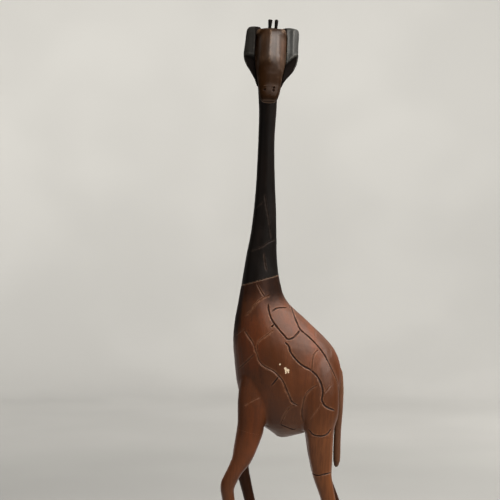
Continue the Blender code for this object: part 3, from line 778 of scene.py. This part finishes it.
class Look:
    """One procedural material, or the light of a world, built node by node."""

    def __init__(self, name, world=None):
        self.material = world or bpy.data.materials.new(name)
        self.material.use_nodes = True
        self.tree = self.material.node_tree
        self.shader = self.tree.nodes["Background" if world else "Principled BSDF"]
        self.place = self.add("ShaderNodeTexCoord").outputs["Object"]

    def add(self, kind, inputs=(), **settings):
        node = self.tree.nodes.new(kind)
        for key, value in settings.items():
            setattr(node, key, value)
        for key, value in dict(inputs).items():
            self.put(node.inputs[key], value)
        return node

    def put(self, socket, value):
        """Links a socket to another one, or sets its value."""
        if isinstance(value, bpy.types.NodeSocket):
            self.tree.links.new(value, socket)
        else:
            socket.default_value = value

    def attribute(self, name):
        """One of the numbers that give() stored, or 0 where a piece has none of that name."""
        return self.add("ShaderNodeAttribute", attribute_name=name).outputs["Fac"]

    def turned(self, direction):
        """Places turned so that Z runs along a direction."""
        turn = Vector(direction).to_track_quat("Z", "Y").inverted().to_euler()
        return self.add("ShaderNodeMapping", {"Vector": self.place, "Rotation": turn}).outputs[0]

    def noise(self, place, scale, stretch=(1, 1, 1), detail=3.0, roughness=0.5, distortion=0.0):
        """Noise of a scale per metre, squeezed along each axis by stretch."""
        squeezed = self.add("ShaderNodeMapping", {"Vector": place, "Scale": stretch}).outputs[0]
        inputs = {
            "Vector": squeezed, "Scale": scale, "Detail": detail, "Roughness": roughness,
            "Distortion": distortion,
        }
        return self.add("ShaderNodeTexNoise", inputs).outputs["Fac"]

    def ranged(self, value, low, high, to_low=0.0, to_high=1.0):
        """A value between low and high turned into one between to_low and to_high."""
        inputs = {"Value": value, "From Min": low, "From Max": high, "To Min": to_low, "To Max": to_high}
        return self.add("ShaderNodeMapRange", inputs, interpolation_type="SMOOTHSTEP").outputs[0]

    def maths(self, operation, first, second=0.0):
        return self.add("ShaderNodeMath", {0: first, 1: second}, operation=operation).outputs[0]

    def times(self, first, second):
        return self.maths("MULTIPLY", first, second)

    def mix(self, first, second, share):
        node = self.add("ShaderNodeMix", data_type="RGBA")
        self.put(node.inputs["Factor"], share)
        for socket, colour in ((node.inputs[6], first), (node.inputs[7], second)):
            self.put(socket, colour if isinstance(colour, bpy.types.NodeSocket) else (*colour, 1))
        return node.outputs[2]

    def bump(self, height, depth, onto=None):
        """Fine unevenness of a depth in metres, on top of another one if given."""
        inputs = {"Height": height, "Distance": depth, "Strength": 1.0}
        if onto is not None:
            inputs["Normal"] = onto
        return self.add("ShaderNodeBump", inputs).outputs[0]

    def finish(self, colour, roughness, normal, specular):
        self.put(self.shader.inputs["Base Color"], colour)
        self.put(self.shader.inputs["Roughness"], roughness)
        self.put(self.shader.inputs["Normal"], normal)
        self.put(self.shader.inputs["Specular IOR Level"], specular)
        return self.material


ALONG_GRAIN = 0.05            # how wide the grain is, as a share of its length
PORE_SHAPE = 0.06             # the same for a pore
# How many of each pattern of the wood there are in a metre.
REDS, BLOTCHES, BANDS, PATCHES, STREAKS, PORES = 21, 34, 130, 300, 620, 1500
STREAK_DEPTH, PATCH_DEPTH, PORE_DEPTH = 0.03 * MM, 0.04 * MM, 0.02 * MM

# Stains: the plain colour, redder and darker patches, the bottom of a cut, and wood lightened by wear, which
# also gives the painted highlights on edges and on the lips of the cuts.
BODY_STAIN = (
    (0.091, 0.0282, 0.0080), (0.108, 0.0285, 0.0070), (0.056, 0.0185, 0.0060),
    (0.012, 0.005, 0.003), (0.22, 0.11, 0.06),
)
FACE_STAIN = (
    (0.066, 0.0350, 0.0180), (0.070, 0.0295, 0.0145), (0.0140, 0.0056, 0.0016),
    (0.004, 0.002, 0.002), (0.17, 0.11, 0.07),
)
NECK_STAIN = (
    (0.0082, 0.0054, 0.0040), (0.0160, 0.0090, 0.0058), (0.0042, 0.0030, 0.0023),
    (0.004, 0.003, 0.002), (0.070, 0.046, 0.034),
)
EAR_STAIN = (
    (0.0125, 0.0115, 0.0084), (0.0150, 0.0125, 0.0088), (0.0068, 0.0062, 0.0046),
    (0.004, 0.003, 0.002), (0.075, 0.068, 0.057),
)
# The tail's stain is lighter and greyer than the body's, a painted sheen
TAIL_STAIN_AND_SHEEN = (
    (0.142, 0.066, 0.034), (0.132, 0.052, 0.024), (0.082, 0.036, 0.018),
    (0.007, 0.003, 0.002), (0.24, 0.13, 0.08),
)
BLACK = (0.0075, 0.0052, 0.0045)
# Colour of the painted light down the near legs
PAINTED_LEG_LIGHT_COLOUR = (0.152, 0.056, 0.0185)
# Painted light from the pale floor on the underside
UNDERSIDE_PAINTED_LIGHT = (0.122, 0.080, 0.056)         # the underside
# Painted highlight along the neck's glue line
SEAM_PAINTED_HIGHLIGHT = (0.24, 0.17, 0.115)
BARE, BARE_BAND, BARE_STREAK = (0.46, 0.37, 0.265), (0.36, 0.23, 0.12), (0.22, 0.13, 0.065)


def stained(name, stain, grain, roughness, shine, dark=None, darkest=BLACK):
    """Stained and waxed wood. Dark names an attribute of painted shade, on the body with dark stain too, that
    brings out the darkest colour, which is duller.
    """
    plain, red, deep, bottom, rubbed_and_lit = stain
    look = Look(name)
    place = look.turned(grain)
    blotches = look.noise(place, BLOTCHES, (1, 1, 0.55), detail=4, distortion=0.4)
    reds = look.noise(place, REDS, (1, 1, 0.6), detail=3)
    streaks = look.noise(place, STREAKS, (1, 1, ALONG_GRAIN), detail=4, roughness=0.6)
    bands = look.noise(place, BANDS, (1, 1, ALONG_GRAIN), detail=2, distortion=0.6)
    pores = look.noise(place, PORES, (1, 1, PORE_SHAPE), detail=2)
    patchy = look.noise(look.place, PATCHES, detail=4, roughness=0.65)

    colour = look.mix(plain, red, look.ranged(reds, 0.46, 0.66))
    colour = look.mix(colour, deep, look.ranged(blotches, 0.40, 0.66, 0.75, 0.0))
    colour = look.mix(colour, deep, look.ranged(bands, 0.45, 0.62, 0.0, 0.45))
    colour = look.mix(colour, deep, look.ranged(streaks, 0.50, 0.72, 0.0, 0.55))
    colour = look.mix(colour, bottom, look.ranged(pores, 0.60, 0.72, 0.0, 0.35))
    # Painted shade, on the body with the neck's dark stain, brings out the darkest colour
    if dark:
        spread = look.maths("ADD", look.attribute(dark), look.ranged(patchy, 0.3, 0.7, -0.04, 0.04))
        colour = look.mix(colour, darkest, look.ranged(spread, 0.05, 0.95, 0.0, 0.92))

    # Painted light down the near legs, broken up by the streaks
    faded = look.times(look.attribute("faded"), look.ranged(streaks, 0.40, 0.64, 0.62, 0.30))
    # Wear on the bulging edges, partly a painted edge highlight
    worn_and_edge_lit = look.times(look.ranged(look.attribute("bulge"), 0.10, 0.28), look.ranged(patchy, 0.25, 0.75))
    # A painted highlight on the lips beside the cuts
    lit_lip = look.times(look.attribute("lip"), look.ranged(patchy, 0.40, 0.60, 0.05, 0.35))
    line = look.attribute("line")
    broken = look.times(look.attribute("pale"), look.ranged(patchy, 0.3, 0.6, 0.15, 0.6))
    # A painted highlight along the neck's glue line
    seam = look.times(look.attribute("seam"), look.ranged(patchy, 0.3, 0.6, 0.25, 0.7))
    ragged = look.maths("ADD", look.attribute("flake"), look.ranged(patchy, 0.3, 0.7, -0.25, 0.25))
    flake = look.ranged(ragged, 0.4, 0.6)
    # Laid over the stain: painted light down the near legs and on the underside, wear with a painted edge
    # highlight, a painted highlight on the lips and along the seam, dark cut bottoms, pale lines and the lost
    # flake
    for over, share in (
        (PAINTED_LEG_LIGHT_COLOUR, faded), (UNDERSIDE_PAINTED_LIGHT, look.times(look.attribute("under"), 0.5)), (rubbed_and_lit, look.times(worn_and_edge_lit, 0.45)),
        (rubbed_and_lit, lit_lip), (bottom, look.times(line, look.ranged(patchy, 0.2, 0.5, 0.6, 0.92))),
        (rubbed_and_lit, broken), (SEAM_PAINTED_HIGHLIGHT, seam), (BARE, flake),
    ):
        colour = look.mix(colour, over, share)

    rough = look.ranged(blotches, 0.3, 0.7, roughness - 0.04, roughness + 0.07)
    for more in (look.ranged(patchy, 0.3, 0.7, -0.03, 0.05), look.times(line, 0.25), look.times(flake, 0.3)):
        rough = look.maths("ADD", rough, more)
    normal = look.bump(streaks, STREAK_DEPTH)
    normal = look.bump(patchy, PATCH_DEPTH, normal)
    normal = look.bump(pores, PORE_DEPTH, normal)
    if dark:
        shine = look.ranged(look.attribute(dark), 0.0, 1.0, shine, 0.06 * shine)
    return look.finish(colour, rough, normal, shine)


def ear_look(grain):
    """Grey-black stain, grey on the edges from wear and a painted edge highlight, with painted shade in black
    inside the hollow and along the edge by the face.
    """
    plain, red, deep, _, rubbed_and_lit = EAR_STAIN
    look = Look("grey_black_stain")
    place = look.turned(grain)
    blotches = look.noise(place, 60, (1, 1, 0.4), detail=4)
    streaks = look.noise(place, 700, (1, 1, ALONG_GRAIN), detail=4, roughness=0.6)
    patchy = look.noise(look.place, 350, detail=4, roughness=0.65)
    hollow = look.attribute("hollow")
    colour = look.mix(plain, red, look.ranged(blotches, 0.5, 0.7))
    colour = look.mix(colour, deep, look.ranged(streaks, 0.45, 0.7, 0.0, 0.8))
    colour = look.mix(colour, deep, look.ranged(blotches, 0.3, 0.5, 0.7, 0.0))
    # Wear on the edges, partly a painted edge highlight
    worn_and_edge_lit = look.times(look.ranged(look.attribute("bulge"), 0.05, 0.22), look.ranged(patchy, 0.35, 0.6))
    colour = look.mix(colour, rubbed_and_lit, look.times(worn_and_edge_lit, 0.5))
    # Painted shade in black inside the hollow and by the face
    colour = look.mix(colour, BLACK, look.ranged(hollow, 0.05, 0.5, 0.0, 0.9))
    rough = look.maths("ADD", look.ranged(patchy, 0.3, 0.7, 0.42, 0.56), look.times(hollow, 0.4))
    normal = look.bump(patchy, 0.03 * MM, look.bump(streaks, 0.04 * MM))
    return look.finish(colour, rough, normal, look.ranged(hollow, 0.05, 0.5, 0.25, 0.02))


def bare_look():
    """Plain pale wood, for the dowels and pegs inside the joints."""
    look = Look("bare_wood")
    streaks = look.noise(look.place, 500, (1, 1, ALONG_GRAIN), detail=4, roughness=0.6)
    bands = look.noise(look.place, 160, (1, 1, ALONG_GRAIN), detail=2, distortion=0.5)
    colour = look.mix(BARE, BARE_BAND, look.ranged(bands, 0.4, 0.65))
    colour = look.mix(colour, BARE_STREAK, look.ranged(streaks, 0.5, 0.72, 0.0, 0.6))
    return look.finish(colour, look.ranged(streaks, 0.3, 0.7, 0.55, 0.7), look.bump(streaks, 0.08 * MM), 0.3)


# ---------------------------------------------------------------- the stage

VIEW_DISTANCE = 1.3           # from the middle of the giraffe, along Y
VIEW_SPAN = 0.5               # what the picture holds at that distance
VIEW_ASIDE = -0.032
VIEW_HEIGHT = 0.368 / 0.6     # as a share of the giraffe's height
CONTRAST = 0.88               # the view's gamma, under 1 for deeper darks
WINDOW_WHITE, WARM_WHITE, COOL_WHITE = (1, 0.985, 0.96), (1, 0.975, 0.94), (0.95, 0.98, 1)
# Lamps, all aimed at the giraffe's middle: the way there, how far off and wide it is, its power and colour.
LAMPS = {
    "window": ((0.46, -0.36, 0.81), 1.7, 2.2, 126, WINDOW_WHITE),
    "skylight": ((0.60, 0.50, 0.62), 1.7, 1.5, 7, WARM_WHITE),
    "bounce": ((-0.8, -0.7, 0.35), 2.0, 1.6, 5, COOL_WHITE),
    "behind": ((-0.5, 0.8, 0.38), 2.0, 1.6, 70, WINDOW_WHITE),
}
BACKDROP = (1.9, 0.8, 3.2)            # how far the floor is flat, its corner's radius, the wall's height
BACKDROP_STEPS, CORNER_STEPS = 96, 12
# Painted light and shade on the backdrop:
BACKDROP_SHADES = (0.29, 0.34, 0.70)  # under the giraffe, far in front of it, far behind it
# The room's light all round, and how it grows along an axis: (axis, from, to, brightness there, and there).
ROOM = 0.02
ROOM_RAMPS = (("Z", 0.0, 0.9, ROOM, ROOM + 0.10), ("Y", 0.1, 0.8, 0.0, 0.30), ("Z", 0.0, -0.4, 0.0, 0.92))
ROOM_WHITE = (1.0, 0.98, 0.95, 1)


def cloth_look(name, near_shade, front_shade, back_shade):
    """Plain pale cloth with painted light and shade: one brightness under the giraffe, and others far in
    front of it and far behind it, and a faint painted shade of creases in the cloth.
    """
    look = Look(name)
    painted_fold_shade = look.noise(look.place, 2.2, detail=2)
    weave = look.noise(look.place, 900, detail=2)
    tint = Vector((1, 0.985, 0.94))
    out = look.add("ShaderNodeVectorMath", {0: look.place}, operation="LENGTH").outputs["Value"]
    parts = look.add("ShaderNodeSeparateXYZ", {0: look.place})
    far_shade = look.ranged(parts.outputs["Y"], -1.0, 1.5, front_shade, back_shade)
    shade = look.ranged(out, 0.5, 2.3, near_shade, far_shade)
    # A faint painted shade of creases in the cloth
    shade = look.times(shade, look.ranged(painted_fold_shade, 0.35, 0.65, 0.97, 1.03))
    colour = look.mix((0, 0, 0), tint, shade)
    return look.finish(colour, 0.9, look.bump(weave, 0.2 * MM), 0.2)


def curved_up(flat, corner, rise):
    """(out, height) along a floor that is flat as far as flat, then curves up into a wall."""
    profile = [(flat, 0.0)]
    for k in range(1, CORNER_STEPS + 1):
        turn = math.pi / 2 * k / CORNER_STEPS
        profile.append((flat + corner * math.sin(turn), corner * (1 - math.cos(turn))))
    return profile + [(flat + corner, rise)]


def make_backdrop():
    """What the camera sees from any side: a round floor that curves up into a wall. It lights nothing."""
    bm = bmesh.new()
    rings = []
    for out, height in [(0.9 * BACKDROP[0], 0.0)] + curved_up(*BACKDROP):
        ring = []
        for k in range(BACKDROP_STEPS):
            turn = 2 * math.pi * k / BACKDROP_STEPS
            ring.append(bm.verts.new((out * math.cos(turn), out * math.sin(turn), height)))
        rings.append(ring)
    bm.faces.new(rings[0])
    for lower, upper in zip(rings, rings[1:]):
        for k in range(BACKDROP_STEPS):
            after = (k + 1) % BACKDROP_STEPS
            bm.faces.new((lower[k], upper[k], upper[after], lower[after]))
    mesh = bpy.data.meshes.new("backdrop")
    bm.to_mesh(mesh)
    bm.free()
    mesh.shade_smooth()
    mesh.materials.append(cloth_look("pale_cloth", *BACKDROP_SHADES))
    backdrop = object_from("backdrop", mesh)
    backdrop.visible_diffuse = backdrop.visible_glossy = backdrop.visible_shadow = False
    return backdrop


def add_lamp(name, target):
    direction, distance, size, power, colour = LAMPS[name]
    lamp = bpy.data.lights.new(name, "AREA")
    lamp.shape = "RECTANGLE"
    lamp.size = lamp.size_y = size
    lamp.energy = power
    lamp.color = colour
    obj = bpy.data.objects.new(name, lamp)
    bpy.context.scene.collection.objects.link(obj)
    way = Vector(direction).normalized()
    obj.location = target + way * distance
    obj.rotation_mode = "QUATERNION"
    obj.rotation_quaternion = way.to_track_quat("Z", "Y")
    obj.visible_camera = False
    return obj


def spare(lamp, obj):
    """Keeps a lamp's light off one object."""
    left_out = bpy.data.collections.new("left_out")
    left_out.objects.link(obj)
    left_out.collection_objects[0].light_linking.link_state = "EXCLUDE"
    lamp.light_linking.receiver_collection = left_out


def add_room():
    """Dim light from all round, brighter from above, from the wall behind and off the floor."""
    room = Look("room", bpy.data.worlds.new("room"))
    bpy.context.scene.world = room.material
    way = room.add("ShaderNodeTexCoord").outputs["Generated"]
    parts = room.add("ShaderNodeSeparateXYZ", {0: way}).outputs
    first, *others = [room.ranged(parts[axis], *limits) for axis, *limits in ROOM_RAMPS]
    for other in others:
        first = room.maths("ADD", first, other)
    room.put(room.shader.inputs["Color"], ROOM_WHITE)
    room.put(room.shader.inputs["Strength"], first)


def add_camera(middle, top):
    """A level camera on the giraffe's left."""
    camera = bpy.data.cameras.new("camera")
    camera.lens_unit = "FOV"
    camera.angle = 2 * math.atan(VIEW_SPAN / 2 / VIEW_DISTANCE)
    eye = bpy.data.objects.new("camera", camera)
    bpy.context.scene.collection.objects.link(eye)
    eye.location = (middle.x + VIEW_ASIDE, middle.y - VIEW_DISTANCE, top * VIEW_HEIGHT)
    eye.rotation_euler = (math.pi / 2, 0, 0)
    bpy.context.scene.camera = eye


def make_stage():
    low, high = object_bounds()
    middle = (low + high) / 2
    backdrop = make_backdrop()
    lamps = {name: add_lamp(name, middle) for name in LAMPS}
    lamps["behind"].visible_glossy = False
    spare(lamps["behind"], backdrop)
    add_room()
    add_camera(middle, high.z)
    bpy.context.scene.view_settings.view_transform = "Standard"
    bpy.context.scene.view_settings.gamma = CONTRAST


# ---------------------------------------------------------------- putting it together

pieces = sawn(make_skin())
for node in ("left_ear", "right_ear"):
    pieces[node] = make_ear(node)
for node in ("left_horn", "right_horn"):
    pieces[node] = make_horn(node)
pieces["tail"] = make_tail()

UPRIGHT = (0.05, 0.0, 1.0)            # the way the grain runs in the body
CREASE = 55                           # an edge sharper than this many degrees is shaded sharp

muzzle_way = head_axes()[3]
# The body's darkest colour marks the neck's stain and painted shade
body_look = stained("red_brown_stain", BODY_STAIN, UPRIGHT, 0.39, 0.27, dark="shade")
neck_look = stained("black_brown_stain", NECK_STAIN, UPRIGHT, 0.42, 0.10)
# The face's painted shade brings out its deep stain colour
face_look = stained("face_stain", FACE_STAIN, muzzle_way, 0.33, 0.25, dark="head_dark", darkest=FACE_STAIN[2])
looks = {"neck": neck_look, "head": face_look, "left_horn": neck_look, "right_horn": neck_look}
looks["left_ear"] = looks["right_ear"] = ear_look(muzzle_way)
# The tail's lighter stain is a painted sheen
looks["tail"] = stained("tail_stain_and_painted_sheen", TAIL_STAIN_AND_SHEEN, UPRIGHT, 0.42, 0.25)

for node, obj in pieces.items():
    obj.data.materials.clear()
    obj.data.materials.append(looks.get(node, body_look))
    obj.data.shade_smooth()
    obj.data.set_sharp_from_angle(angle=math.radians(CREASE))
    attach(obj, "root")
    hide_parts(node)

bare = bare_look()
for node in DOWELS + PEGS:
    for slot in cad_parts[node].material_slots:
        slot.material = bare

make_stage()
